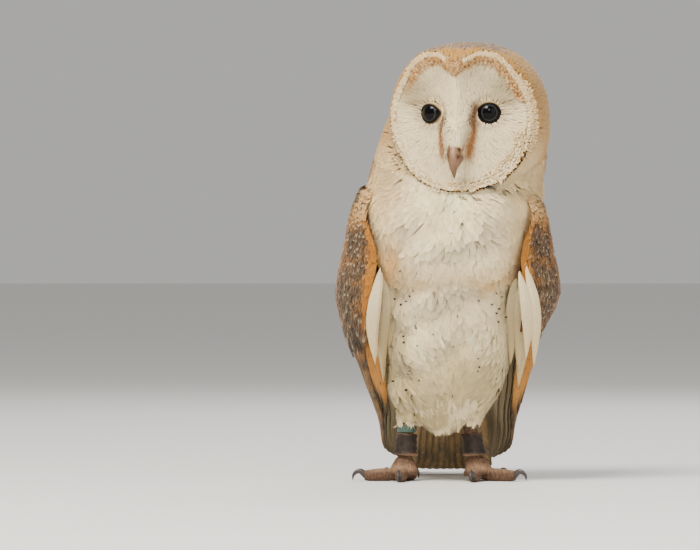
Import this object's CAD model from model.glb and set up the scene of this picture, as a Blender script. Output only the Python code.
import math

import bpy
import numpy as np
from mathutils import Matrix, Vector
from mathutils.bvhtree import BVHTree
from mathutils.kdtree import KDTree

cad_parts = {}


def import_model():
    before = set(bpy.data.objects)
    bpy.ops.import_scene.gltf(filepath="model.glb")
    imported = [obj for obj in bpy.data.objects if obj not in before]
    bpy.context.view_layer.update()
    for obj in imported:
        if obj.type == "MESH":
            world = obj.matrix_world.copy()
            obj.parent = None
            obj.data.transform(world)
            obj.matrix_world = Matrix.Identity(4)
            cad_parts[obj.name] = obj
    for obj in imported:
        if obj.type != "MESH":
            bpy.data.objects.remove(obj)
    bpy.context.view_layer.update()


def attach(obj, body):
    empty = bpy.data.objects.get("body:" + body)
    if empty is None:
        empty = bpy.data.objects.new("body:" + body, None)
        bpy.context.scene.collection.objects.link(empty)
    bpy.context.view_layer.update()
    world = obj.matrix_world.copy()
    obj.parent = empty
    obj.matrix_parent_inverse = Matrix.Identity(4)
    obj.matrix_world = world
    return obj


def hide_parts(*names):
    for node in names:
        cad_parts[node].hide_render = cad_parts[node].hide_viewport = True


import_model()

ORIGIN_BACK = 47.2


def world(points):
    return (np.asarray(points, float) - (0, ORIGIN_BACK, 0)) * 0.001


def srgb(r, g, b):
    c = np.array((r, g, b)) / 255
    return np.where(c <= 0.04045, c / 12.92, ((c + 0.055) / 1.055) ** 2.4)


def smooth(low, high, x):
    t = np.clip((np.asarray(x, float) - low) / (high - low), 0, 1)
    return t * t * (3 - 2 * t)


def bump(x, middle, width):
    return np.exp(-(((x - middle) / width) ** 2))


def unit(v):
    return v / np.maximum(np.linalg.norm(v, axis=-1, keepdims=True), 1e-9)


def dot(a, b):
    return (a * b).sum(-1, keepdims=True)


def plain(colour, n):
    return np.broadcast_to(colour, (n, 3))


def ripple(p, seed, wavelength):
    """Smooth noise between about -1 and 1, from a few crossed waves."""
    rng = np.random.default_rng(seed)
    total = 0
    for _ in range(6):
        k = unit(rng.normal(size=3)) * 2 * math.pi / (wavelength * rng.uniform(0.7, 1.5))
        total = total + np.sin(p @ k + rng.uniform(0, 6.3))
    return total / 2.6


# ---- Form ----
HEAD_AT = np.array((14.3, -2.0, 250.0))
HEAD_TURN = math.radians(-12.5)
CRANIUM = {"half": 54.5, "up": 56, "down": 50, "back": 50, "widest": -4}
DISC = {"centre": -6, "radius": 48, "thick": 5, "side": 27, "mid": 38}
EYE = {"across": 18.6, "up": 1, "depth": 25}
SQUARENESS = 2.3
BODY = np.array([
    (31, -5, 6, 0, 9), (38, -3, 14, -12, 19), (47, -3, 22, -21, 33), (60, -2, 33, -32, 48),
    (76, -1, 40, -41, 62), (94, 0, 43.5, -47, 70), (114, 0, 45.5, -51, 71), (132, 0, 47, -52, 68),
    (143, 0, 50, -56.5, 65.5), (158, 0, 55, -58.5, 61), (176, 0, 59.5, -55, 55), (190, 2, 61.5, -47, 51),
    (205, 5, 60, -33, 48.5), (225, 9, 59, -26, 49), (242, 12, 56, -22, 49), (258, 14, 50, -16, 46),
    (272, 15, 36, -8, 36), (282, 15, 12, 0, 20),
])  # height, sideways shift, half width, front, back
WING = np.array([
    ((50, -14, 198), (54, 12, 202), (34, 42, 202)),
    ((55, -31, 180), (61, 8, 182), (34, 52, 178)),
    ((50, -36, 154), (66.5, 6, 156), (28, 60, 152)),
    ((55, -30, 126), (70.5, 14, 128), (21, 70, 124)),
    ((58, -14, 98), (66, 30, 100), (15, 82, 98)),
    ((54, 14, 70), (55, 56, 72), (10, 98, 72)),
    ((45, 56, 40), (45, 90, 42), (8, 118, 44)),
    ((41, 104, 15), (40, 124, 17), (9, 138, 20)),
    ((27, 150, 4), (23, 153, 6), (17, 154, 8)),
], float)  # leading edge, outermost line, edge over the back
LEGS = {
    "left": {"side": 1, "foot": (20.5, 0, 0), "ankle": (14.5, 3, 40), "hip": (25, 6, 92), "twist": -12},
    "right": {"side": -1, "foot": (-30.5, 0, 0), "ankle": (-28, 3, 40), "hip": (-23, 6, 92), "twist": 5},
}
THIGH = [(18, 25), (18.5, 24), (15.5, 19), (10.5, 12.5), (7.2, 8)]
TOES = {2: (2, 25, 8.5), 3: (80, 27, 8), 4: (146, 21, 8), 1: (-158, 15, 8)}  # turn, length, claw
LAYER = 4.2


def column(xs, ys):
    """The smooth curve through a table's column, as an array function."""
    xs, ys = np.asarray(xs, float), np.asarray(ys, float)
    last = len(xs) - 1
    ends = [(max(0, i - 1), min(last, i + 1)) for i in range(last + 1)]
    slope = np.array([(ys[b] - ys[a]) / (xs[b] - xs[a]) for a, b in ends])

    def at(x):
        i = np.clip(np.searchsorted(xs, x, side="left") - 1, 0, last - 1)
        step = xs[i + 1] - xs[i]
        t = np.clip((x - xs[i]) / step, 0, 1)
        return (
            (2 * t**3 - 3 * t**2 + 1) * ys[i]
            + (t**3 - 2 * t**2 + t) * step * slope[i]
            + (3 * t**2 - 2 * t**3) * ys[i + 1]
            + (t**3 - t**2) * step * slope[i + 1]
        )

    return at


def circle(sides):
    return np.arange(sides) * 2 * math.pi / sides


def super_radius(c, s, a, b):
    """The radius of a superellipse with half axes a and b, at this cosine and sine."""
    return (np.abs(c / a) ** SQUARENESS + np.abs(s / b) ** SQUARENESS) ** (-1 / SQUARENESS)


body_x, body_half, body_front, body_back = (column(BODY[:, 0], BODY[:, i]) for i in range(1, 5))


def body_ring(z, sides):
    a = circle(sides)
    middle = (body_front(z) + body_back(z)) / 2
    r = super_radius(np.sin(a), np.cos(a), body_half(z), (body_back(z) - body_front(z)) / 2)
    return np.stack([body_x(z) + r * np.sin(a), middle - r * np.cos(a), np.full(sides, float(z))], 1)


def heart(angle):
    """The radius of the heart-shaped face, with its two lobes and the notch between them."""
    a = np.abs(np.arctan2(np.sin(angle), np.cos(angle)))
    swell, notch = 4.2 * bump(a, 0.52, 0.3), 9.5 * bump(a, 0, 0.2)
    return super_radius(np.sin(a), np.cos(a), DISC["radius"], DISC["radius"]) + swell - notch


def reach(u, v):
    """The share of the way from the face's middle to its rim."""
    dv = v - DISC["centre"]
    return np.hypot(u, dv) / heart(np.arctan2(u, dv))


def edge_share(angle):
    """Where the feathered rim shows, as a share of the disc's own rim."""
    a = np.arctan2(np.sin(angle), np.cos(angle))
    return 0.962 + 0.06 * bump(a, 1.6, 0.65) - 0.04 * bump(a, -2.15, 0.5) + 0.015 * bump(a, -1.35, 0.3)


def shown(u, v):
    return reach(u, v) / edge_share(np.arctan2(u, v - DISC["centre"]))


def face_depth(u, v):
    """How far the face stands forward of the head's origin: keel, brow and hollows round the eyes."""
    across = np.minimum(1, np.abs(u) / DISC["radius"])
    fold = DISC["mid"] - (DISC["mid"] - DISC["side"]) * across**1.3
    ridge = 9 * bump(u, 0, 8.5) * smooth(-36, -18, v)
    brow = 3 * smooth(12, 34, v) * (1 - across)
    hollow = 5 * np.exp(-(((np.abs(u) - 22) / 13) ** 2) - ((v - 4) / 16) ** 2)
    return fold + ridge + brow - hollow + 3 * smooth(0.78, 1, reach(u, v))


def face_ring(share, sides):
    a = circle(sides)
    u, v = share * heart(a) * np.sin(a), DISC["centre"] + share * heart(a) * np.cos(a)
    return np.stack([u, -face_depth(u, v), v], 1)


def cranium_ring(q, sides):
    """A ring of the head behind the face: q from 0 at the rim to 1 at the back."""
    a = circle(sides)
    s, c = np.sin(a), np.cos(a)
    full = super_radius(s, c, CRANIUM["half"], np.where(c > 0, CRANIUM["up"], CRANIUM["down"]))
    rim = heart(a)
    rim_depth = face_depth(rim * s, DISC["centre"] + rim * c) - DISC["thick"]
    turn, widest = 0.34, CRANIUM["widest"]
    if q < turn:
        b = math.pi / 2 * q / turn
        radius = rim + (full - rim) * math.sin(b)
        depth = widest + (rim_depth - widest) * math.cos(b)
    else:
        b = math.pi / 2 * (q - turn) / (1 - turn)
        radius = np.maximum(0.5, full * max(0, math.cos(b)) ** (2 / SQUARENESS))
        depth = widest - (CRANIUM["back"] + widest) * math.sin(b) ** (2 / SQUARENESS) + 0 * a
    return np.stack([radius * s, -depth, DISC["centre"] + radius * c], 1)


HEAD_TO_BODY = np.array([
    (math.cos(HEAD_TURN), -math.sin(HEAD_TURN), 0),
    (math.sin(HEAD_TURN), math.cos(HEAD_TURN), 0),
    (0, 0, 1),
])


def from_head(p):
    return np.asarray(p, float) @ HEAD_TO_BODY.T + HEAD_AT


def to_head(p):
    return (p - HEAD_AT) @ HEAD_TO_BODY


def wing_point(s, t):
    """The wing's outer face: s from its leading edge over the back, t from shoulder to tip."""
    rows = np.linspace(0, 1, len(WING))
    edges = [np.stack([column(rows, WING[:, e, k])(t) for k in range(3)], -1) for e in range(3)]
    s = np.asarray(s, float)[..., None]
    return edges[0] * (1 - s) * (1 - 2 * s) + edges[1] * 4 * s * (1 - s) + edges[2] * s * (2 * s - 1)


def wing_normal(s, t):
    step = 0.02
    across = wing_point(s + step, t) - wing_point(s - step, t)
    down = wing_point(s, np.minimum(1, t + step)) - wing_point(s, np.maximum(0, t - step))
    return unit(np.cross(down, across))


def wing_place(s, t, height):
    s, t, height = np.broadcast_arrays(s, t, np.asarray(height, float))
    return wing_point(s, t) + wing_normal(s, t) * height[..., None]


def tube_rings(points, sizes, sides, rings):
    """A tapered tube along a smooth line: its rings, each a closed loop."""
    pts = np.asarray(points, float)
    length = np.concatenate([[0], np.cumsum(np.sqrt(np.linalg.norm(np.diff(pts, axis=0), axis=1)))])
    line = [column(length, pts[:, k]) for k in range(3)]
    size = [column(np.linspace(0, 1, len(sizes)), np.array(sizes)[:, k]) for k in range(2)]
    t = np.linspace(0, 1, rings)
    at = np.stack([f(t * length[-1]) for f in line], 1)
    along = unit(np.gradient(at, axis=0))
    side = unit(np.array((1, 0, 0)) - along * along[:, :1])
    top = np.cross(along, side)
    a = circle(sides)
    across = side[:, None] * (size[0](t)[:, None] * np.cos(a))[..., None]
    up = top[:, None] * (size[1](t)[:, None] * np.sin(a))[..., None]
    return at[:, None] + across + up


def grid(rows, columns):
    return np.meshgrid(np.arange(rows), np.arange(columns), indexing="ij")


def quads(a, b, c, d):
    """Two triangles for each cell with these corners."""
    return np.concatenate([np.stack(corners, -1).reshape(-1, 3) for corners in ((a, b, c), (a, c, d))])


def hoop(rings):
    """Points and triangles of rings (count, sides, 3) joined all round, the last to the first."""
    count, sides = rings.shape[:2]
    i, j = grid(count, sides)
    here, there, onward = i * sides, (i + 1) % count * sides, (j + 1) % sides
    return rings.reshape(-1, 3), quads(here + j, here + onward, there + onward, there + j)


def loft(rings):
    """Points and triangles of a closed body from equal rings."""
    rings = np.asarray(rings)
    count, sides = rings.shape[:2]
    points = rings.reshape(-1, 3)
    r, i = grid(count - 1, sides)
    a, b = r * sides + i, r * sides + (i + 1) % sides
    tris = quads(a, b, b + sides, a + sides)
    k = np.arange(sides)
    n = len(points)
    points = np.concatenate([points, rings[0].mean(0)[None], rings[-1].mean(0)[None]])
    low = np.stack([np.full(sides, n), (k + 1) % sides, k], 1)
    high = np.stack([np.full(sides, n + 1), k + n - sides, (k + 1) % sides + n - sides], 1)
    return points, np.concatenate([tris, low, high])


def join(*bodies):
    points, tris, base = [], [], 0
    for p, t in bodies:
        points.append(p)
        tris.append(t + base)
        base += len(p)
    return np.concatenate(points), np.concatenate(tris)


# ---- Meshes ----
def build_mesh(name, points, tris, tint=None, uv=None, normals=None):
    mesh = bpy.data.meshes.new(name)
    mesh.vertices.add(len(points))
    mesh.vertices.foreach_set("co", world(points).ravel().astype(np.float32))
    mesh.loops.add(tris.size)
    mesh.loops.foreach_set("vertex_index", tris.ravel().astype(np.int32))
    mesh.polygons.add(len(tris))
    mesh.polygons.foreach_set("loop_start", np.arange(0, tris.size, 3, dtype=np.int32))
    mesh.polygons.foreach_set("use_smooth", np.ones(len(tris), bool))
    mesh.update(calc_edges=True)
    if tint is not None:
        colour = np.ones((len(points), 4), np.float32)
        colour[:, :3] = np.clip(tint, 0, 1)
        layer = mesh.color_attributes.new("tint", "FLOAT_COLOR", "POINT")
        layer.data.foreach_set("color", colour.ravel())
    if uv is not None:
        layer = mesh.uv_layers.new(name="OFBake")
        layer.data.foreach_set("uv", uv[tris.ravel()].ravel().astype(np.float32))
    if normals is not None:
        mesh.normals_split_custom_set_from_vertices(normals.astype(np.float32))
    return mesh


def outward(points, tris):
    """The triangles of a closed body, turned to face out."""
    a, b, c = (points[tris[:, k]] - points.mean(0) for k in range(3))
    return tris if (a * np.cross(b, c)).sum() > 0 else tris[:, ::-1].copy()


def piece(name, points, tris, stuff, replaces=(), tint=None, uv=None, normals=None):
    if normals is None:
        tris = outward(points, tris)
    obj = bpy.data.objects.new(name, build_mesh(name, points, tris, tint, uv, normals))
    bpy.context.scene.collection.objects.link(obj)
    obj.data.materials.append(stuff)
    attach(obj, "root")
    if replaces:
        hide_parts(*replaces)


def remeshed(points, tris, voxel, smoothing):
    """One closed surface round everything in the mesh, as points and triangles."""
    obj = bpy.data.objects.new("raw", build_mesh("raw", points, tris))
    bpy.context.scene.collection.objects.link(obj)
    remesh = obj.modifiers.new("remesh", "REMESH")
    remesh.mode = "VOXEL"
    remesh.voxel_size = voxel * 0.001
    soften = obj.modifiers.new("soften", "SMOOTH")
    soften.factor = 0.5
    soften.iterations = smoothing
    done = obj.evaluated_get(bpy.context.evaluated_depsgraph_get()).to_mesh()
    done.calc_loop_triangles()
    out = np.empty(len(done.vertices) * 3, np.float32)
    done.vertices.foreach_get("co", out)
    faces = np.empty(len(done.loop_triangles) * 3, np.int32)
    done.loop_triangles.foreach_get("vertices", faces)
    bpy.data.objects.remove(obj)
    return out.reshape(-1, 3).astype(float) * 1000 + (0, ORIGIN_BACK, 0), faces.reshape(-1, 3)


def point_normals(points, tris):
    a, b, c = (points[tris[:, k]] for k in range(3))
    face = np.cross(b - a, c - a)
    out = np.zeros_like(points)
    for k in range(3):
        np.add.at(out, tris[:, k], face)
    return unit(out)


class Surface:
    """A surface that tufts grow on and march along."""

    def __init__(self, points, tris):
        self.points, self.tris = points, tris
        self.normals = point_normals(points, tris)
        self.face_normals = unit(self.normals[tris].mean(1))
        self.tree = BVHTree.FromPolygons(points.tolist(), tris.tolist())

    def nearest(self, p):
        hits = [self.tree.find_nearest(q) for q in p.tolist()]
        at = np.array([h[0] for h in hits])
        return at, self.face_normals[[h[2] for h in hits]]

    def march(self, roots, heading, length, steps):
        p, d = roots, heading
        out = []
        for k in range(steps + 1):
            if k:
                p = p + d * (length / steps)[:, None]
            p, normal = self.nearest(p)
            d = unit(d - normal * dot(d, normal))
            out.append((p, normal, d))
        return [np.array([o[i] for o in out]) for i in range(3)]

    def front(self, x, z):
        """The surface's foremost points at x and z."""
        hits = [self.tree.ray_cast((a, -300, b), (0, 1, 0)) for a, b in zip(x, z)]
        return np.array([h[0] for h in hits if h[0] is not None])


def scatter(points, spacing, rng):
    """Indexes of points that keep their spacing from each other."""
    tree = KDTree(len(points))
    for i, p in enumerate(points.tolist()):
        tree.insert(p, i)
    tree.balance()
    blocked = bytearray(len(points))
    kept = []
    spacing = np.broadcast_to(spacing, len(points))
    for i in rng.permutation(len(points)).tolist():
        if blocked[i]:
            continue
        kept.append(i)
        for _, j, _ in tree.find_range(points[i], spacing[i]):
            blocked[j] = 1
    return np.array(kept)


# ---- Materials ----
def material(name, roughness, **values):
    made = bpy.data.materials.new(name)
    made.use_nodes = True
    shader = made.node_tree.nodes["Principled BSDF"]
    shader.inputs["Roughness"].default_value = roughness
    for key, value in values.items():
        shader.inputs[key.replace("_", " ")].default_value = value
    return made


def tinted(name, roughness, mottle=0.12, scale=900, bumps=0.0, bump_scale=1500, scales=False, **values):
    """Colour from the tint attribute, broken by fine mottling; bumps of noise or of scales."""
    made = material(name, roughness, **values)
    nodes, links = made.node_tree.nodes, made.node_tree.links
    shader = nodes["Principled BSDF"]

    def node(kind, **inputs):
        new = nodes.new("ShaderNode" + kind)
        for key, value in inputs.items():
            new.inputs[key.replace("_", " ")].default_value = value
        return new

    tint, place, tone = node("Attribute"), node("TexCoord"), node("VectorMath")
    tint.attribute_name, tone.operation = "tint", "SCALE"
    noise = node("TexNoise", Scale=scale, Detail=3)
    level = node("MapRange", From_Min=0.3, From_Max=0.7, To_Min=1 - mottle, To_Max=1 + mottle * 0.6)
    links.new(place.outputs["Object"], noise.inputs["Vector"])
    links.new(noise.outputs["Fac"], level.inputs["Value"])
    links.new(tint.outputs["Color"], tone.inputs[0])
    links.new(level.outputs["Result"], tone.inputs["Scale"])
    links.new(tone.outputs[0], shader.inputs["Base Color"])
    if bumps:
        grain = node("TexVoronoi" if scales else "TexNoise", Scale=bump_scale)
        if scales:
            grain.feature = "DISTANCE_TO_EDGE"
        rough = node("Bump", Strength=bumps, Distance=0.0004)
        links.new(place.outputs["Object"], grain.inputs["Vector"])
        links.new(grain.outputs["Distance" if scales else "Fac"], rough.inputs["Height"])
        links.new(rough.outputs["Normal"], shader.inputs["Normal"])
    return made


plumage = tinted("plumage", 0.85, 0.08, Specular_IOR_Level=0.15, Sheen_Weight=0.15, Sheen_Roughness=0.5)
vane_stuff = tinted("vane", 0.7, 0.16, 1300, Specular_IOR_Level=0.25)
skin_stuff = tinted("skin", 0.9, 0.15, 700, Specular_IOR_Level=0.15)
bill_stuff = tinted("bill", 0.42, 0.14, 500, 0.25, 900)
foot_stuff = tinted("foot_scales", 0.66, 0.34, 650, 1.0, 620, True, Specular_IOR_Level=0.3)
claw_stuff = tinted("claw", 0.28, 0.2, 500, 0.15, 1200)
leather_stuff = tinted("leather", 0.6, 0.3, 420, 0.8, 700, Specular_IOR_Level=0.3)
teal_stuff = tinted("teal_plastic", 0.4, 0.1, 300, 0.1, 600)
eye_stuff = tinted("eye_gloss", 0.03, 0.05, 400, Specular_IOR_Level=0.14)
lid_stuff = tinted("lid", 0.6, 0.2, 900, 0.4, 1600, Specular_IOR_Level=0.15)

# ---- Markings ----
WHITE = srgb(252, 233, 190)
CREAM = srgb(244, 219, 168)
PALE_GREY = srgb(212, 193, 144)
UNDER = srgb(196, 180, 146)
BUFF = srgb(214, 168, 102)
PALE_BUFF = srgb(230, 200, 148)
GOLD = srgb(196, 146, 72)
WING_GOLD = srgb(192, 126, 50)
RUST = srgb(156, 98, 46)
GREY = srgb(110, 90, 70)
LILAC = srgb(140, 120, 104)
DARK = srgb(58, 46, 36)
BLACK = srgb(24, 20, 18)


def mix(a, b, share):
    share = np.asarray(share, float)[..., None]
    return a * (1 - share) + b * share


def mantle(p):
    """The grey speckled field: the crown, nape and middle of the back."""
    u, back, v = to_head(p).T
    wander = ripple(p, 3, 16)
    crown = smooth(32.5, 37, v + 0.25 * back + 2 * ripple(p, 4, 9)) * smooth(34, 24, np.abs(u + 3 * wander))
    nape = smooth(2, 26, back + 4 * wander) * smooth(44, 26, np.abs(u + 5 * wander))
    return np.clip(np.maximum(crown, nape * smooth(-160, -120, v)), 0, 1)


def greyed(tint, p, share):
    """The mantle's patchy grey over a colour."""
    return mix(tint, LILAC, share * (0.85 - 0.35 * smooth(0.2, 0.9, ripple(p, 6, 9))))


def head_tint(p):
    """Crown, nape and the sides of the head behind the rim."""
    _, back, v = to_head(p).T
    tint = mix(GOLD, BUFF, smooth(24, -4, v) * 0.75)
    tint = mix(tint, CREAM, smooth(-6, -34, v) * smooth(8, -20, back) * 0.8)
    return greyed(tint, p, mantle(p))


BUFF_PATCHES = [
    (-38, 157, 10, 15, 0.95), (47, 152, 9, 14, 0.9), (26, 141, 14, 6, 0.85), (-20, 143, 12, 6, 0.6),
]  # across, height, half sizes, strength


def body_grey(p):
    return mantle(p) * smooth(100, 130, p[:, 2])


def body_tint(p):
    """Neck, breast, belly, flanks and thighs."""
    x, y, z = p.T
    wave = ripple(p, 5, 28)
    tint = mix(PALE_GREY, WHITE, smooth(60, 135, z + 16 * wave) * smooth(52, 30, np.abs(x - 2)))
    side = smooth(18, 46, np.abs(x - 2)) * smooth(130, 148, z + 4 * wave) * smooth(215, 190, z)
    tint = mix(tint, mix(CREAM, PALE_BUFF, 0.5), side * 0.8)
    for cx, cz, wx, wz, much in BUFF_PATCHES:
        patch = bump(x, cx, wx) * bump(z + 3 * wave, cz, wz) * smooth(10, -20, y)
        tint = mix(tint, BUFF, much * patch)
    edge = smooth(28, 52, np.abs(x - 8)) * smooth(185, 205, z)
    tint = mix(tint, PALE_BUFF, edge * 0.85)
    from_y = 14 - 24 * smooth(175, 225, z)
    back = smooth(from_y, from_y + 24, y) * smooth(70, 110, z)
    tint = mix(tint, mix(GOLD, BUFF, smooth(200, 225, z) * 0.5), back * 0.9)
    return greyed(tint, p, body_grey(p))


HEAD_EDGE = (222, 0.42)  # height of the head's lower edge over the legs, and its slope towards the back


def lobes(p):
    """The height of the soft swellings of the breast and belly."""
    x, y, z = p.T
    front = smooth(10, -10, y) * smooth(228, 205, z)
    bib = 3.4 * smooth(134, 144, z + 3 * np.sin(x / 11)) * smooth(215, 175, z)
    hollow = -1.6 * bump(x, 0, 9) * bump(z, 120, 16)
    return front * (bib + hollow + 1.9 * ripple(p, 21, 34) + 0.4 * ripple(p, 22, 17))


def leaning(p, much):
    """How the lobes' slopes tilt the normals."""
    return -much * np.stack([lobes(p + step) - lobes(p - step) for step in 0.5 * np.eye(3)], 1)


def is_head(p):
    return smooth(-6, 6, p[:, 2] - HEAD_EDGE[0] - HEAD_EDGE[1] * p[:, 1])


def face_share(p):
    """1 on the facial disc, 0 off it."""
    u, back, v = to_head(p).T
    return smooth(1.03, 0.97, shown(u, v)) * smooth(8, 14, -back)


TEAR_MARKS = ((12.2, 4, 6.4, -26, 3.0), (-12.2, -2, -9.6, -25, 2.0))  # top, foot, half width


def face_tint(p):
    """The face: grey over the brows, rusty marks from eye to bill, and the golden band inside the rim."""
    u, _, v = to_head(p).T
    grey = bump(np.abs(u), 29, 13) * bump(v, 15, 11) + 0.5 * bump(np.abs(u), 12, 8) * bump(v, 26, 8)
    tint = mix(plain(WHITE, len(p)), srgb(158, 142, 106), 0.75 * grey)
    for x0, y0, x1, y1, wide in TEAR_MARKS:
        middle = x0 + (x1 - x0) * np.clip((y0 - v) / (y0 - y1), 0, 1)
        fade = smooth(y1 - 8, y1 + 2, v) * smooth(y0 + 5, y0 - 1, v)
        rusty = mix(RUST, srgb(92, 50, 24), smooth(-18, 2, v))
        tint = mix(tint, rusty, bump(u, middle, wide) * fade)
    smudge = bump(np.abs(u), 30, 5) * bump(v, 6.5, 1.8)
    tint = mix(tint, srgb(140, 118, 78), 0.75 * smudge)
    around = bump(np.hypot(np.abs(u) - EYE["across"], v - EYE["up"]), 8.6, 1.6)
    tint = mix(tint, srgb(150, 118, 84), 0.4 * around)
    sides = np.where(u < 0, smooth(-38, -31, u), smooth(2, 12, v))
    ring = smooth(0.73, 0.79, shown(u, v)) * sides * smooth(8, 16, v)
    return mix(tint, srgb(190, 138, 82), 0.9 * ring * (0.75 + 0.25 * ripple(p, 24, 3)))


def skin_tint(p):
    tint = mix(body_tint(p), head_tint(p), is_head(p))
    return mix(tint, face_tint(p), face_share(p))


def coat_depth(p):
    """How deep the coat lies over the skin: thin on the head, thinnest on the face."""
    depth = 5.0 - 1.0 * smooth(110, 60, p[:, 2]) - 1.2 * smooth(180, 205, p[:, 2])
    depth = depth + (3.8 - depth) * is_head(p)
    return depth + (1.8 - depth) * face_share(p)


# ---- Skin ----
SKIN_VOXEL = 1.35
SKIN_SMOOTHING = 8
column_rings = [body_ring(z, 96) for z in np.linspace(BODY[0, 0], BODY[-1, 0], 90)]
head_rings = [from_head(face_ring(share, 96)) for share in np.linspace(0.02, 1, 26)]
head_rings += [from_head(cranium_ring(q, 96)) for q in np.linspace(0, 1, 44)]
flesh = [loft(column_rings), loft(head_rings)]
for leg in LEGS.values():
    hip, ankle = leg["hip"], leg["ankle"]
    knee = ((hip[0] + ankle[0]) / 2, 1, 64)
    flesh.append(loft(tube_rings([hip, knee, (ankle[0], ankle[1], ankle[2] - 2)], THIGH, 32, 40)))
bridge = tube_rings(
    [(0, -35, -1), (0, -42.5, -11), (0, -50.2, -25)], [(9, 7.5), (7.8, 6.8), (5.9, 5.2)], 32, 20)
flesh.append(loft(from_head(bridge)))  # the ridge from brow to bill


def under(s, t):
    """Where the long feathers lie under the layer of the coverts."""
    return smooth(0.22, 0.34, s) * (1 - smooth(0.7, 0.8, t))


def arm_shell():
    s, t = np.meshgrid(np.linspace(0.02, 0.9, 24), np.linspace(0.03, 0.42, 24), indexing="ij")
    top = wing_place(s, t, -LAYER * under(s, t) - 5)
    low = wing_place(s, t, -LAYER * under(s, t) - 7 - 15 * np.sin(math.pi * np.clip(s, 0, 1)))
    return loft(np.concatenate([top, low[:, ::-1]], 1))


for side in (1, -1):
    points, tris = arm_shell()
    flesh.append((points * (side, 1, 1), tris[:, ::side]))
form_points, form_tris = remeshed(*join(*flesh), SKIN_VOXEL, SKIN_SMOOTHING)
form_normals = point_normals(form_points, form_tris)
if (form_normals * (form_points - form_points.mean(0))).sum() < 0:
    form_tris = form_tris[:, ::-1].copy()
    form_normals = -form_normals
skin_points = form_points - form_normals * coat_depth(form_points)[:, None]
skin = Surface(skin_points, form_tris)


def unwrap(p):
    """A place on the skin laid flat: round the body, and up it."""
    x, y, z = p.T
    cx = np.interp(z, BODY[:, 0], BODY[:, 1])
    around = np.arctan2(x - cx, -(y - 6)) / (2 * math.pi) + 0.5
    up = 0.83 * np.clip(z / 310, 0, 1) + 0.12 * smooth(262, 306, z)
    return np.stack([0.02 + 0.95 * around, 0.02 + up], 1)


flesh_nodes = ["trunk", "neck", "head", "facial_disc", "thigh_left", "thigh_right"]
flesh_nodes += ["wing_left_arm", "wing_right_arm"]
piece("skin", skin_points, form_tris, skin_stuff, flesh_nodes,
      skin_tint(form_points), unwrap(form_points))


# ---- Tufts ----
def lerp_rows(rows, x):
    """rows (k, n, 3) read at x (n, m) from 0 to 1."""
    last = len(rows) - 1
    f = np.clip(x, 0, 1) * last
    i = np.minimum(f.astype(int), last - 1)
    w = (f - i)[..., None]
    n = np.arange(rows.shape[1])[:, None]
    return rows[i, n] * (1 - w) + rows[i + 1, n] * w


def repeated(tris, count, size):
    """The same triangles for each of many equal sets of points."""
    return (np.arange(count)[:, None, None] * size + np.array(tris)).reshape(-1, 3)


PATCH = 0.003  # a tuft's share of the map
BLADE_START = 0.12  # how far up its feather an outermost blade begins


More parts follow.
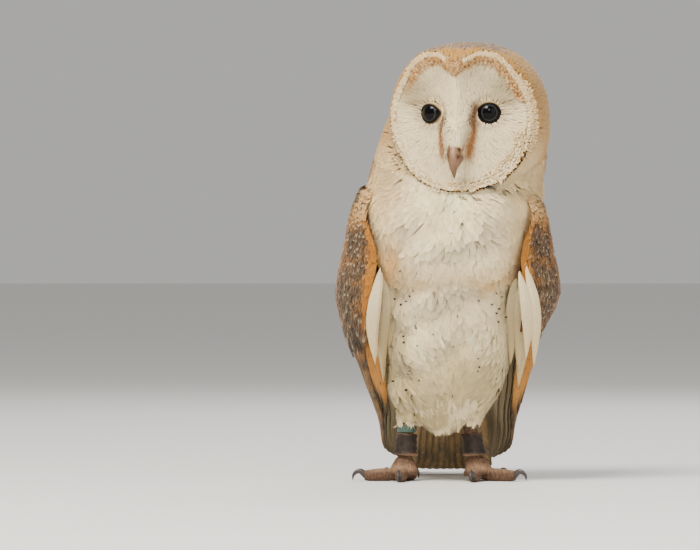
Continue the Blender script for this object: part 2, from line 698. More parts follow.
def tufts(spine, width, rise, tint, uv, rng, barbs=7, thick=0.5, ragged=0.22, blunt=0.25,
          tip=None, tip_share=0.0, tip_half=2.0, wave=0.25, steps=3, cup=0.25, shade=0.12,
          vane=0.0, swell=0.35, roll=0.35, grain=None, lean=0, uneven=0.035):
    """Feathers of narrow blades, over a soft vane where vane is its share of the width.
    spine: points, normals and directions (k, n, 3); rise(t) gives a height (n, m) for t (n, m).
    The result is points, triangles, tints, places on the map and soft normals."""
    at, normal, along = spine
    n = at.shape[1]
    a = np.linspace(-1, 1, barbs) + rng.uniform(-0.5, 0.5, (n, barbs)) / barbs
    far = 1 - blunt * a**2 - ragged * rng.random((n, barbs))
    first = BLADE_START * np.abs(a)
    tilt = rng.uniform(-roll, roll, (n, barbs))
    sway = rng.normal(0, wave, (n, barbs))
    lift = rng.normal(0, 0.12, (n, barbs))
    feather = 1 + rng.normal(0, uneven, (n, 1))
    tone = feather + rng.normal(0, 0.04, (n, barbs))

    def station(across, t, q, drop, tones):
        p, m, d = (lerp_rows(r, t) for r in (at, normal, along))
        side = unit(np.cross(m, d))
        height = rise(t) * (1 - cup * across**2) + drop
        soft = unit(m + side * (swell * across)[..., None] + d * 0.1 + lean)
        colour = tint[:, None] * (tones * (1 - shade * (1 - q)))[..., None]
        if grain is not None:
            grains = 1 + grain[:, None] * rng.normal(0, 1, across.shape)
            colour = colour * np.clip(grains, 0.2, 1.7)[..., None]
        if tip is not None:
            w = smooth(1 - tip_share, 1 - tip_share * 0.5, q) * (np.abs(across) < tip_half)
            colour = mix(colour, tip[:, None], w)
        patch = np.stack([0.5 + 0.42 * across, np.full(across.shape, 0.05 + 0.9 * q)], -1)
        return p + m * height[..., None], side, m, soft, colour, uv[:, None] + PATCH * patch

    rows = [[], [], [], []]
    for k in range(steps + 1):
        q = k / steps
        t = np.maximum(first + (far - first) * q, 0)
        middle, side, m, soft, colour, place = station(a, t, q, lift * q, tone)
        lateral = width[:, None] / 2 * a * (0.3 + 0.7 * np.sqrt(t)) + sway * q * q * 2
        blade = side * np.cos(tilt)[..., None] + m * np.sin(tilt)[..., None]
        half = thick / 2 * (1 - 0.35 * q)
        for e in (0,) if k == steps else (-1, 1):
            point = middle + side * lateral[..., None] + blade * half * e
            for row, value in zip(rows, (point, colour, place + (PATCH / 20 * e, 0), soft)):
                row.append(value)
    per = len(rows[0])
    blades = [np.stack(r, 2).reshape(-1, r[0].shape[-1]) for r in rows]
    ladder = [t for b in range(0, 2 * steps - 2, 2) for t in ((b, b + 3, b + 1), (b, b + 2, b + 3))]
    tris = repeated(ladder + [(per - 2, per - 3, per - 1)], n * barbs, per)
    if not vane:
        return blades[0], tris, *blades[1:]
    sheet = [[], [], [], []]
    b = np.broadcast_to(np.array((-1.0, 0.0, 1.0)), (n, 3))
    for q, wide in ((0.05, 0.45), (0.35, 0.95), (0.65, 1.0), (0.9, 0.45)):
        t = np.full((n, 3), q * 0.95)
        middle, side, _, soft, colour, place = station(b, t, q, -0.25, feather + 0 * b)
        point = middle + side * (width[:, None] / 2 * b * wide * vane)[..., None]
        for row, value in zip(sheet, (point, colour, place, soft)):
            row.append(value)
    flat = [np.stack(r, 1).reshape(-1, r[0].shape[-1]) for r in sheet]
    cells = [t for c in (0, 1, 3, 4, 6, 7) for t in ((c, c + 3, c + 1), (c + 1, c + 3, c + 4))]
    leaves = repeated(cells, n, 12) + len(blades[0])
    order = interleave(len(tris) // n, len(leaves) // n, n)
    points, *others = (np.concatenate([x, y]) for x, y in zip(blades, flat))
    return points, np.concatenate([tris, leaves])[order], *others


def interleave(first, second, n):
    """The order that keeps each feather's triangles together."""
    a = np.arange(n * first).reshape(n, first)
    b = np.arange(n * second).reshape(n, second) + n * first
    return np.concatenate([a, b], 1).ravel()


COAT_LIMIT = 195000


def coat(name, made, stuff=plumage, replaces=()):
    """Coat pieces from feathers, each under the limit of triangles."""
    points, tris, tint, uv, normals = made
    count = math.ceil(len(tris) / COAT_LIMIT)
    cuts = np.linspace(0, len(tris), count + 1).astype(int)
    for i in range(count):
        used, part = np.unique(tris[cuts[i]:cuts[i + 1]], return_inverse=True)
        label = name if count == 1 else f"{name}_{i + 1}"
        own = None if normals is None else normals[used]
        piece(label, points[used], part.reshape(-1, 3), stuff, replaces, tint[used], uv[used], own)


def joined(*several):
    """Several sets of feathers as one."""
    rows, base = [[] for _ in range(5)], 0
    for made in several:
        for row, value in zip(rows, made):
            row.append(value)
        rows[1][-1] = made[1] + base
        base += len(made[0])
    return tuple(None if r[0] is None else np.concatenate(r) for r in rows)


def rising(depth, low=0.12, full=0.5, stand=0.0):
    """A tuft's height over the skin: from low at its root to the coat's depth."""
    def rise(t):
        return depth[:, None] * (low + (1 - low) * smooth(0, full, t)) + stand * t**2
    return rise


def turned(direction, normal, angle):
    side = np.cross(normal, direction)
    return direction * np.cos(angle)[:, None] + side * np.sin(angle)[:, None]


def laid(heading, normal):
    """Directions laid flat on the surface."""
    return unit(heading - normal * dot(heading, normal))


BILL_ROOT = (0, -40, -4)


def flow(p, normal):
    """The lie of the coat: from the bill over the head, then down."""
    x, y, z = p.T
    spread = np.where(z > 120, 0.012, -0.012) * (x - 2) * smooth(230, 190, z)
    back = 0.25 * smooth(-20, 20, y) - 0.1 * smooth(120, 60, z) * smooth(0, -20, y)
    down = np.stack([spread, back, -1 + 0 * z], 1)
    d = laid(unit(mix(down, unit(p - from_head(BILL_ROOT)), is_head(p))), normal)
    return turned(d, normal, 0.42 * ripple(p, 11, 34) * (1 - is_head(p)) + 0.14 * ripple(p, 12, 9))


def speckled(tint, black, white, level, rng):
    """Tips in black or a shade of white: black and white are the draws below which they come."""
    draw = rng.random(len(tint))
    out = np.where((draw < black)[:, None], BLACK, tint)
    return np.where(((draw > black) & (draw < white))[:, None], WHITE * level, out)


def straight(root, heading, normal, length, steps):
    """The spines of feathers that stand free of the skin."""
    at = np.array([root + heading * (length * k / steps)[:, None] for k in range(steps + 1)])
    return at, np.broadcast_to(normal, at.shape), np.broadcast_to(heading, at.shape)


rng = np.random.default_rng(7)
shares = face_share(form_points)
heads = is_head(form_points)


# ---- Wings as surfaces ----
def wing_surface(side, s_range, t_range, height, rows, columns):
    s, t = np.meshgrid(np.linspace(*s_range, rows), np.linspace(*t_range, columns), indexing="ij")
    p = wing_place(s, t, height(s, t)) * (side, 1, 1)
    i, j = grid(rows - 1, columns - 1)
    a = i * columns + j
    tris = quads(a, a + columns, a + columns + 1, a + 1)
    if side > 0:
        tris = tris[:, ::-1].copy()
    return Surface(p.reshape(-1, 3), tris), s.ravel(), t.ravel()


def covert_height(s, t):
    """How far the coverts' tips stand over the wing's face."""
    bulge = 3.6 * np.sin(math.pi * np.clip((s - 0.6) / 0.54, 0, 1)) * (1 - t)
    return np.where(s > 0.66, 5.8, 5.2) + bulge - 3 * smooth(0.36, 0.47, t)


shields = [wing_surface(side, (0, 1), (0, 0.96), lambda s, t: 0 * s, 60, 70)[0] for side in (1, -1)]
WING_REACH = 30


def hidden(p, normal):
    """Whether the folded wings lie over these places."""
    out = np.zeros(len(p), bool)
    for shield in shields:
        for i in np.nonzero(~out)[0].tolist():
            hit = shield.tree.ray_cast(p[i], normal[i], WING_REACH)
            out[i] = hit[0] is not None
    return out


# ---- Body coat ----
def body_coat():
    """A layer of wide soft feathers under two of fine strands."""
    open_skin = np.nonzero((shares < 0.5) & (heads < 0.5))[0]
    spacing = 2.7 - 0.6 * smooth(185, 212, form_points[open_skin, 2])
    kept = open_skin[scatter(form_points[open_skin], spacing, rng)]
    kept = kept[~hidden(form_points[kept], form_normals[kept])]
    p, roots, normal = form_points[kept], skin_points[kept], form_normals[kept]
    n, z = len(p), p[:, 2]
    heading = turned(flow(p, normal), normal, rng.normal(0, 0.12, n))
    length = 13.5 - 4.5 * smooth(185, 225, z) - 3 * smooth(75, 45, z)
    length = length * rng.uniform(0.85, 1.2, n)
    depth = coat_depth(p) * rng.uniform(0.98, 1.01, n) + 0.7 * lobes(p)
    spine = skin.march(roots + rng.uniform(-0.6, 0.6, roots.shape), heading, length, 4)
    tint = body_tint(p) * (1 + 0.09 * ripple(p, 23, 26))[:, None]
    grey = body_grey(p)
    alike = {"ragged": 0.5, "wave": 0.5, "swell": 0.03, "cup": 0.03, "lean": leaning(p, 2.3)[:, None]}
    under = tufts(spine, length * 0.5, rising(depth, 0.4, stand=0.04), tint, unwrap(p), rng, barbs=11,
                  thick=0.36, blunt=0.5, roll=0.1, vane=0.6, shade=0.02, grain=0.22 * grey,
                  uneven=0.02, **alike)
    tip = speckled(tint, 0.2 * grey, 0.36 * grey, 0.9, rng)
    alike |= {"ragged": 0.6, "wave": 0.55, "grain": 0.03 + 0.22 * grey}
    strands = []
    for share in (0.8, 1.05):
        moved, lie = skin.nearest(roots + rng.normal(0, 1.0, roots.shape))
        way = laid(unit(turned(heading, lie, rng.normal(0, 0.14, n))), lie)
        fine = skin.march(moved, way, length * share * rng.uniform(0.8, 1.2, n), 4)
        strands.append(tufts(fine, rng.uniform(1.8, 2.8, n), rising(depth + 0.3, 0.5, stand=0.05),
                             tint * 1.02, unwrap(p), rng, barbs=6, thick=0.26, blunt=0.2, roll=0.2,
                             shade=0.03, tip=tip, tip_share=0.3, tip_half=0.5, **alike))
    return under, joined(*strands)


under_coat, over_coat = body_coat()
coat("body_coat", under_coat)
coat("body_down", over_coat)


def hanging(x, y, z, heading, length, width, seed, tint=None, stand=1.5, extra=1.0):
    """Longer soft feathers with their roots near these places, tips standing off the coat."""
    hrng = np.random.default_rng(seed)
    at, normal = skin.nearest(np.stack(np.broadcast_arrays(x, y, z), 1).astype(float))
    n = len(at)
    heading = laid(unit(plain(heading, n) + hrng.normal(0, 0.13, at.shape)), normal)
    spine = straight(at, heading, normal, length * hrng.uniform(0.8, 1.2, n), 4)
    base = coat_depth(at)[:, None]
    colour = body_tint(at) if tint is None else plain(tint, n)

    def rise(t):
        return base * smooth(-0.1, 0.4, t) * extra + stand * t**2

    return tufts(spine, np.full(n, width), rise, colour, unwrap(at), hrng, barbs=11, thick=0.3,
                 ragged=0.4, blunt=0.4, wave=0.7, roll=0.2, vane=0.6, swell=0.12, shade=0.05)


def loose_feathers():
    """The ragged lower edge of the bib, the vent's tufts, the leg cuffs and the left shoulder."""
    draw = np.random.default_rng(41)
    x = draw.uniform(-42, 48, 420)
    edge = 146 - 3 * np.sin(x / 11) + draw.normal(0, 4, 420)
    made = [hanging(x, -60, edge, (0, -0.1, -1), 12, 4, 42, stand=0.6, extra=1.25)]
    for n, x, wide, y, z, tall, heading, length, seed in (
            (170, -5, 9, -30, 50, 5, (0.05, 0.25, -1), 19, 43),
            (70, 12, 6, -22, 49, 4, (0.2, 0.1, -1), 13, 44)):
        x, y, z = draw.normal(x, wide, n), y + draw.normal(0, 6, n), z + draw.normal(0, tall, n)
        made.append(hanging(x, y, z, heading, length, 4.5, seed, WHITE, 0.5))
    for seed, leg in enumerate(LEGS.values(), 45):
        a = draw.uniform(0, 2 * math.pi, 90)
        x, y = leg["ankle"][0] + 9 * np.cos(a), leg["ankle"][1] + 10 * np.sin(a)
        made.append(hanging(x, y, 46 + draw.normal(0, 3, 90), (0, 0, -1), 8, 4, seed, WHITE, 0.2))
    x, y, z = draw.normal(49, 1.8, 70), -22 + draw.normal(0, 4, 70), 149 + draw.normal(0, 6, 70)
    made.append(hanging(x, y, z, (0.1, -0.1, -1), 13, 4.5, 47, mix(BUFF, CREAM, 0.4), 1.5, 1.7))
    return joined(*made)


coat("loose_feathers", loose_feathers())


def belly_spots():
    """Tiny dark drops, mostly on both sides of the belly."""
    srng = np.random.default_rng(33)
    x = [srng.normal(-27, 9, 52), srng.normal(27, 9, 32), srng.normal(-4, 12, 7), (-44, 52, 50, 47)]
    z = [np.linspace(48, 146, 52), np.linspace(55, 140, 32), srng.uniform(60, 120, 7), (160, 178, 166, 150)]
    at, normal = skin.nearest(skin.front(np.concatenate(x), np.concatenate(z)))
    heading = flow(at, normal)
    n = len(at)
    spine = skin.march(at - heading, heading, srng.uniform(1.0, 1.9, n), 2)
    height = (coat_depth(at) + 0.7 * lobes(at) + 1.0)[:, None]
    return tufts(spine, srng.uniform(0.4, 0.7, n), lambda t: height + 0 * t, plain(DARK, n), unwrap(at),
                 srng, barbs=3, thick=0.35, steps=2, wave=0.05, vane=1.0)


coat("belly_spots", belly_spots())


# ---- Crown, nape and sides of the head ----
def head_coat():
    able = np.nonzero((shares < 0.3) & (heads >= 0.5))[0]
    kept = able[scatter(form_points[able], 1.75, rng)]
    p, n = form_points[kept], len(kept)
    length = rng.uniform(5.2, 7.2, n)
    depth = coat_depth(p) * rng.uniform(0.96, 1.03, n)
    spine = skin.march(skin_points[kept], flow(p, form_normals[kept]), length, 3)
    tint, patch = head_tint(p), mantle(p)
    tip = speckled(tint, 0.16 * patch, 0.3 * patch, 1, rng)
    return tufts(spine, np.full(n, 2.6), rising(depth, 0.45), tint, unwrap(p), rng, thick=0.34, steps=2,
                 tip=tip, tip_share=0.45, tip_half=0.45, vane=0.9, roll=0.15, wave=0.12, shade=0.08,
                 swell=0.2, ragged=0.3, grain=0.05 + 0.2 * patch)


coat("head_coat", head_coat())


# ---- Face ----
def face_flow(h, normal):
    """The lie of the face's feathers: away from the eyes, then out to the rim."""
    u, _, v = h.T
    away = np.stack([u - np.sign(u + 1e-6) * EYE["across"], 0 * u, v - EYE["up"]], 1)
    out = np.stack([u, 0 * u, v - np.where(np.abs(u) < 10, -10, DISC["centre"])], 1)
    near = bump(np.linalg.norm(away, axis=1), 0, 17)
    return laid(unit(unit(mix(unit(out), unit(away), near)) @ HEAD_TO_BODY.T), normal)


def face_map(h):
    """Places of the face laid flat, as a disc."""
    angle = np.arctan2(h[:, 0], h[:, 2] - DISC["centre"])
    r = 0.42 * reach(h[:, 0], h[:, 2])
    return np.stack([0.5 + r * np.sin(angle), 0.5 + r * np.cos(angle)], 1)


def face_coat():
    base = form_points[shares > 0.5]
    twice = np.concatenate([base, base + rng.normal(0, 0.5, base.shape)])
    p, normal = skin.nearest(twice[scatter(twice, 1.02, rng)])
    u, _, v = to_head(p).T
    off_eye = np.hypot(np.abs(u) - EYE["across"], 1.12 * (v - EYE["up"])) > 7.0
    off_bill = ~((np.abs(u) < 4.4) & (v < -28) & (v > -42))
    p, normal = p[off_eye & off_bill], normal[off_eye & off_bill]
    h, n = to_head(p), len(p)
    rim = shown(h[:, 0], h[:, 2])
    length = (4.2 + 3.2 * smooth(0.2, 0.8, rim)) * rng.uniform(0.8, 1.2, n)
    length = length * (1 - 0.45 * smooth(0.8, 1, rim))
    depth = coat_depth(p) * rng.uniform(0.85, 1.1, n)
    heading = turned(face_flow(h, normal), normal, rng.normal(0, 0.12, n))
    spine = skin.march(p, heading, length, 3)
    return tufts(spine, np.full(n, 1.5), rising(depth, 0.25), face_tint(p), face_map(h), rng, barbs=4,
                 thick=0.28, steps=2, ragged=0.4, wave=0.14, shade=0.07, roll=0.15, vane=0.75)


coat("face_coat", face_coat())


# ---- Rim of the facial disc ----
def rim_row(share, count, length, width, out, tint, lift, start, end, stand, jitter=0.006, thick=0.4,
            tip=None, tip_share=0.5):
    """Small stiff feathers along an arc of the face, rooted at a share of its visible rim."""
    angle = np.linspace(start, end, count) + rim_rng.uniform(-0.4, 0.4, count) * (end - start) / count
    r = (share + rim_rng.normal(0, jitter, count)) * heart(angle) * edge_share(angle)
    u, v = r * np.sin(angle), DISC["centre"] + r * np.cos(angle)
    root = from_head(np.stack([u, -(face_depth(u, v) - 1.2 + lift), v], 1))
    radial = unit(np.stack([np.sin(angle), 0 * u, np.cos(angle)], 1) @ HEAD_TO_BODY.T)
    forward = plain(HEAD_TO_BODY @ (0, -1, 0), count)
    heading = unit(radial * out + forward * (1 - out) + rim_rng.normal(0, 0.08, (count, 3)))
    length = length * rim_rng.uniform(0.85, 1.15, count)
    spine = straight(root, heading, laid(forward, heading), length, 3)
    colours = tint(angle)
    tips = None if tip is None else tip(angle)
    return tufts(spine, np.full(count, width), lambda t: 0.3 + stand * t * (1.6 - t), colours,
                 face_map(np.stack([u, 0 * u, v], 1)), rim_rng, thick=thick, ragged=0.15, blunt=0.3,
                 tip=tips, tip_share=tip_share, shade=0.15, vane=0.85, wave=0.1)


def picked(colours, below, n):
    """One of three colours for each feather, by the draws below which the first two come."""
    draw = rim_rng.random(n)[:, None]
    return np.where(draw < below[0], colours[0], np.where(draw < below[1], colours[1], colours[2]))


def golden(angle):
    tones = srgb(168, 120, 72), srgb(206, 160, 104), srgb(220, 184, 134)
    return picked(tones, (0.28, 0.75), len(angle))


def edge_dark(angle):
    tones = BLACK * 1.5, srgb(120, 84, 48), srgb(190, 146, 92)
    return picked(tones, (0.74, 0.85), len(angle))


def cream(angle):
    return mix(plain(CREAM, len(angle)), srgb(228, 200, 156), 0.45 * rim_rng.random(len(angle)))


def scale_white(angle):
    return mix(plain(WHITE, len(angle)), CREAM, rim_rng.random(len(angle)))


def scale_tip(angle):
    brown = rim_rng.random(len(angle)) < 0.6
    return mix(plain(WHITE, len(angle)), srgb(206, 168, 112), 0.9 * brown)


rim_rng = np.random.default_rng(17)
LEFT_TOP, RIGHT_TOP, RIGHT_SIDE = (-1.2, -0.17), (0.15, 1.25), (0.9, 1.95)
ALL_LOW = (1.75, 2 * math.pi - 1.75)
rim = [  # share of the rim, count, length, width, outward share, tint, lift, arc, stand
    rim_row(0.86, 150, 3.0, 2.2, 0.75, golden, 0.6, -0.8, 1.2, 1.6, 0.02),
    rim_row(0.905, 170, 3.0, 2.2, 0.75, golden, 1.0, -0.85, 1.25, 1.6, 0.015),
    rim_row(0.945, 75, 3.6, 2.0, 0.75, cream, 1.0, *LEFT_TOP, 0.9),
    rim_row(0.945, 80, 3.6, 2.0, 0.75, cream, 1.0, *RIGHT_TOP, 0.9),
    rim_row(0.975, 75, 3.0, 2.0, 0.85, cream, 0.6, *LEFT_TOP, 0.4),
    rim_row(0.975, 80, 3.0, 2.0, 0.85, cream, 0.6, *RIGHT_TOP, 0.4),
    rim_row(0.95, 90, 3.4, 1.8, 0.75, scale_white, 0.5, -2.6, -1.15, 0.7),
    rim_row(0.98, 90, 3.0, 1.8, 0.8, cream, 0.3, -2.0, -1.15, 0.5),
    rim_row(0.955, 150, 3.6, 1.3, 0.85, cream, 0.6, *RIGHT_SIDE, 0.4, 0.012, 0.2),
    rim_row(0.985, 190, 3.4, 1.2, 0.9, cream, -0.2, *RIGHT_SIDE, 0.3, 0.015, 0.2, golden, 0.35),
    rim_row(1.01, 190, 3.2, 1.1, 0.8, cream, -1.4, 1.0, 1.9, 0.2, 0.02, 0.2),
]
for share, count, length, out, lift, start, end, stand in (
        (0.80, 70, 2.8, 0.7, 0.8, 1.75, 2.7, 1.6), (0.85, 80, 2.8, 0.7, 1.0, 1.7, 3.3, 1.6),
        (0.90, 120, 2.8, 0.7, 1.1, 1.6, 3.9, 1.5), (0.945, 180, 2.9, 0.75, 1.1, 1.6, 4.4, 1.2)):
    rim.append(rim_row(share, count, length, 2.2, out, scale_white, lift, start, end, stand, 0.012,
                       tip=scale_tip))
rim += [
    rim_row(0.975, 340, 2.4, 1.2, 0.8, edge_dark, 0.5, *ALL_LOW, 0.4),
    rim_row(0.992, 240, 1.8, 1.1, 0.85, scale_tip, -0.2, 1.9, 2 * math.pi - 2.0, 0.2),
]
coat("rim_feathers", joined(*rim))


def forehead():
    """The golden wedge of small feathers that runs down between the lobes."""
    n = 260
    v = rim_rng.uniform(28, 44, n)
    u = rim_rng.uniform(-1, 1, n) * (1.2 + 0.42 * (v - 28))
    root, normal = skin.nearest(from_head(np.stack([u, -face_depth(u, v), v], 1)))
    down = np.stack([0.35 * np.sign(u), -0.3 + 0 * u, -1 + 0 * u], 1)
    heading = turned(laid(unit(down @ HEAD_TO_BODY.T), normal), normal, rim_rng.normal(0, 0.4, n))
    spine = skin.march(root, heading, rim_rng.uniform(2.6, 4.2, n), 2)
    return tufts(spine, np.full(n, 2.0), lambda t: 2.2 + 1.0 * t, golden(u), face_map(to_head(root)),
                 rim_rng, barbs=5, thick=0.35, steps=2, vane=0.8)


coat("forehead_feathers", forehead())


def bristles():
    """Thin dark hairs on both sides of the bill's base."""
    n = 56
    u = np.where(np.arange(n) % 2, 1, -1) * rim_rng.uniform(2.8, 5.6, n)
    v = rim_rng.uniform(-30, -22, n)
    front = -47 + 0.55 * (v + 24) - 6.2 * np.sqrt(1 - (u / 6.2) ** 2)
    root = from_head(np.stack([u, front - 0.3, v], 1))
    normal = unit(np.stack([u / 6, -1 + 0 * u, 0 * u], 1) @ HEAD_TO_BODY.T)
    down = np.stack([-0.12 * np.sign(u), -0.4 + 0 * u, -1 + rim_rng.normal(0, 0.15, n)], 1)
    spine = straight(root, unit(down @ HEAD_TO_BODY.T), normal, rim_rng.uniform(2.5, 5.0, n), 2)
    return tufts(spine, np.full(n, 0.7), lambda t: 0.3 + 0.5 * t, plain(srgb(92, 66, 44), n),
                 face_map(to_head(root)), rim_rng, barbs=2, thick=0.26, steps=2, wave=0.1)


coat("bristles", bristles())

# ---- Wings ----
PANEL = {"left": 1, "right": -1}


def grey_from(s):
    """How far down the wing the grey field begins."""
    return 0.1 - 0.12 * smooth(0.45, 0.6, s)


def stripe(s, wander=0):
    """The golden stripe that parts the grey field."""
    return smooth(0.25, 0.32, s + wander) * smooth(0.5, 0.42, s)


def wing_tint(s, t, rng):
    """Upper wing: golden at the front, a grey speckled field, golden towards the back."""
    place = np.stack([s * 70, t * 200, 0 * s], 1)
    wave = ripple(place, 31, 26)
    top = mix(plain(mix(BUFF, CREAM, 0.45), len(s)), mix(GOLD, BUFF, 0.5), smooth(0.12, 0.3, s))
    tint = mix(plain(WING_GOLD, len(s)), top, 0.8 * smooth(0.17, 0.05, t + 0.02 * wave))
    grey = smooth(0.008, 0.024, s + 0.006 * wave) * (1 - 0.7 * stripe(s, 0.03 * wave))
    grey = grey * smooth(grey_from(s), grey_from(s) + 0.06, t + 0.02 * wave)
    patchy = smooth(0.2, 0.8, ripple(place, 33, 12)) * grey
    tint = mix(tint, GREY * 0.92, 0.95 * grey - 0.3 * patchy)
    low = smooth(0.37, 0.43, t) * smooth(0.4, 0.2, s) * (rng.random(len(s)) < 0.7)
    tint = mix(tint, GREY * 0.45, 0.8 * low)
    shoulder = smooth(0.11, 0.03, t) * smooth(0.12, 0.2, s) * smooth(0.45, 0.35, s)
    return mix(tint, GREY * 0.8, 0.8 * shoulder)


def tucked(points, side):
    """The left wing lies closer to the legs below its middle."""
    out = points.copy()
    out[..., 0] -= 8.5 * bump(out[..., 2], 90, 26) if side > 0 else 0
    return out


COVERT_END = 0.45


def covert_coat(side, wrng):
    """Speckled feathers over the upper wing, longer and looser along its lower front edge."""
    surface, s, t = wing_surface(
        side, (-0.02, 1.06), (0.0, 0.62), lambda s, t: covert_height(s, t) - 3.6, 60, 84)
    able = np.nonzero(t < COVERT_END - 0.02 + 0.02 * np.abs(np.sin(math.pi * 6 * s)))[0]
    kept = able[scatter(surface.points[able], 1.7, wrng)]
    s, t, p, normal, n = s[kept], t[kept], surface.points[kept], surface.normals[kept], len(kept)
    lower = (wing_place(s, t + 0.02, 0) - wing_place(s, t, 0)) * (side, 1, 1)
    heading = turned(laid(lower, normal), normal, wrng.normal(0, 0.12, n))
    length = 8.0 + 4 * smooth(0.1, 0.4, t) + 7 * smooth(0.38, 0.44, t)
    length = length * wrng.uniform(0.8, 1.2, n)
    length = length + 14 * smooth(0.37, 0.44, t) * smooth(0.42, 0.2, s) * wrng.uniform(0.2, 1.2, n)
    spine = surface.march(p, heading, length, 4)
    depth = 3.4 * wrng.uniform(0.8, 1.05, n)
    tint = wing_tint(s, t, wrng)
    amount = smooth(0.008, 0.026, s) * smooth(grey_from(s), 0.16, t) * (1 - 0.6 * stripe(s))
    tip = speckled(tint, 0.5 * (0.2 + amount), 0.8 * (0.2 + amount), 0.8, wrng)
    uv = np.stack([0.05 + 0.85 * s, 0.05 + 1.7 * t], 1)
    points, *others = tufts(
        spine, np.full(n, 4.0), rising(depth, 0.1, 0.6), tint, uv, wrng, barbs=9, ragged=0.2,
        blunt=0.35, tip=tip, tip_share=0.16, tip_half=0.22, wave=0.08, vane=0.95, roll=0.12,
        shade=0.08, swell=0.2, grain=0.12 + 0.44 * amount, uneven=0.07)
    return tucked(points, side), *others


VANE_COLUMNS = 6  # on each side of the shaft
VANE_THICK = 0.55


def vane(place, steps, width, tint, cell, cells, seed, point=0.35, camber=0.9, notch=0.02,
         under_pale=0.75, spindle=False):
    """One large feather: place(x, y, h) gives points for x across, y along 0..1 and h up.
    Its map has cells x cells places, and it takes the one numbered cell."""
    vrng = np.random.default_rng(seed)
    y = 1 - np.linspace(1, 0, steps) ** 1.4
    a = np.linspace(-1, 1, 2 * VANE_COLUMNS + 1)
    outline = np.minimum(1, y / 0.12) ** 0.7 * np.clip((1 - y) / point, 0, 1) ** 0.5
    if spindle:
        outline = np.sin(math.pi * np.clip(y, 0, 1) ** 0.85) ** 0.8
    ragged = 1 + notch * vrng.normal(size=(steps, 2))
    yy, aa = np.meshgrid(y, a, indexing="ij")
    edges = np.where(aa < 0, ragged[:, :1], ragged[:, 1:])
    x = aa * width * np.maximum(outline, 0.02)[:, None] * edges / 2
    shaft = 0.45 * bump(aa, 0, 0.06) * (1 - yy)
    barbs = 0.12 * np.sin(yy * 90 + 6 * np.abs(aa) + seed) * np.abs(aa)
    top = camber * (1 - aa**2) + shaft + barbs
    points = np.concatenate([place(x, yy, h).reshape(-1, 3) for h in (top, top - VANE_THICK)])
    rows, cols = aa.shape
    n = rows * cols
    i, j = grid(rows - 1, cols - 1)
    p0 = (i * cols + j).ravel()
    p1, p2, p3 = p0 + 1, p0 + cols + 1, p0 + cols
    loop = np.concatenate([
        np.arange(cols), np.arange(1, rows) * cols + cols - 1,
        (rows - 1) * cols + np.arange(cols - 2, -1, -1), np.arange(rows - 2, 0, -1) * cols])
    onward = np.roll(loop, -1)
    sides = (p0, p1, p2, p3), (p0 + n, p3 + n, p2 + n, p1 + n), (onward, loop, loop + n, onward + n)
    tris = np.concatenate([quads(*corners) for corners in sides])
    colour = tint(aa, yy, vrng).reshape(-1, 3)
    size = 0.96 / cells
    corner = np.array((cell % cells, cell // cells)) * size + 0.02
    flat = np.stack([0.05 + 0.2 * (aa + 1), 0.04 + 0.92 * yy], -1).reshape(-1, 2) * size + corner
    uv = np.concatenate([flat, flat + (size * 0.46, 0)])
    return points, outward(points, tris), np.concatenate([colour, mix(colour, UNDER, under_pale)]), uv, None


def flight_tint(bars, grey, level=1.0):
    """A barred flight feather, its edges dark."""
    def tint(a, y, vrng):
        base = mix(np.broadcast_to(WING_GOLD * 0.62, a.shape + (3,)), BUFF * 0.72, 0.3 + 0.3 * (a > 0))
        phase = vrng.uniform(0, 0.3)
        wave = np.sin((y * bars + phase) * 2 * math.pi + 0.5 * np.abs(a)) * 0.5 + 0.5
        base = mix(base, srgb(82, 64, 50), 0.85 * smooth(0.72, 0.95, wave))
        fleck = vrng.random(a.shape)
        base = mix(base, GREY, grey * (0.4 + 0.6 * smooth(0.55, 1, y)) * (0.5 + 0.5 * fleck))
        base = mix(base, DARK, 0.6 * (fleck > 0.88) * smooth(0.1, 0.5, y))
        base = mix(base, PALE_GREY, 0.5 * (fleck < 0.08) * smooth(0.3, 0.7, y))
        base = mix(base, srgb(120, 84, 50), 0.7 * bump(a, 0, 0.07))
        return level * mix(base, srgb(48, 36, 26), 0.85 * smooth(0.5, 1, np.abs(a)))
    return tint


def wing_vane(side, s_from, s_to, t_from, t_to, height, slope, narrow, *args):
    """A flight feather on the wing: s and t run between these ends along it."""
    def place(x, y, h):
        t = t_from + (t_to - t_from) * y
        s = s_from + (s_to - s_from) * y
        metric = np.linalg.norm(wing_point(s + 0.02, t) - wing_point(s - 0.02, t), axis=-1) / 0.04
        high = h + height(s, t) + slope * x
        return tucked(wing_place(s + x / np.maximum(metric, narrow), t, high) * (side, 1, 1), side)
    return vane(place, *args)


def secondaries(side):
    made = []
    for i in range(11):
        s = 0.36 + 0.06 * i
        tip = 0.735 + 0.012 * math.sin(i * 2.1)
        made.append(wing_vane(side, s, s - 0.04, 0.14, tip, lambda s, t: -1.6, 0.12, 0,
                              56, 15.5, flight_tint(4.5, 0.5), i, 6, i + 40))
    return joined(*made)


def primaries(side):
    made = []
    for i in range(10):
        share = i / 9
        made.append(wing_vane(side, 0.06 + 0.84 * share, 0.12 + 0.76 * share, 0.32, 0.83 + 0.16 * share,
                              lambda s, t: -LAYER * under(s, t) - 2.4 + 0.5 * t, 0.1, 18,
                              64, 13.5, flight_tint(5.5, 0.3, 0.66), i, 6, i + 80))
    return joined(*made)


STRIP_OUT, STRIP_FORWARD = np.array((0.93, 0.36, 0)), np.array((0.36, -0.93, 0))


